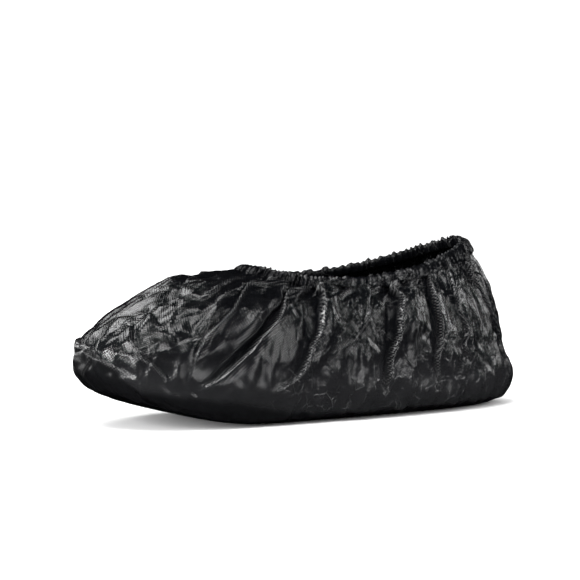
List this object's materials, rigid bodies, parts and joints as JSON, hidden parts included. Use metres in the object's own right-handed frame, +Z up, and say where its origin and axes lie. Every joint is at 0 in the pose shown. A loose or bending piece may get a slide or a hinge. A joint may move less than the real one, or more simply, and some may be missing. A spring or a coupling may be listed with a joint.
{
  "type": "disposable shoe cover",
  "caption": "Slip-on shoe cover of thin black embossed film with a gathered elastic opening, in the shape it takes when worn.",
  "frame": {"origin": "on the inner face of the sole, under the middle of the cover, where it sits on the shoe that it is worn over", "axes": "+Z up from the sole, -Y to the toe, +Y to the heel, +X to the side shown in the picture"},
  "size_m": [0.1228, 0.3278, 0.1145],
  "materials": {
    "film_bag": "glossy embossed film",
    "gathered_hem": "glossy film",
    "elastic_band": "matt"
  },
  "bodies": {
    "root": {"film_bag": "film_bag", "gathered_hem": "gathered_hem", "elastic_band": "elastic_band"}
  },
  "joints": []
}
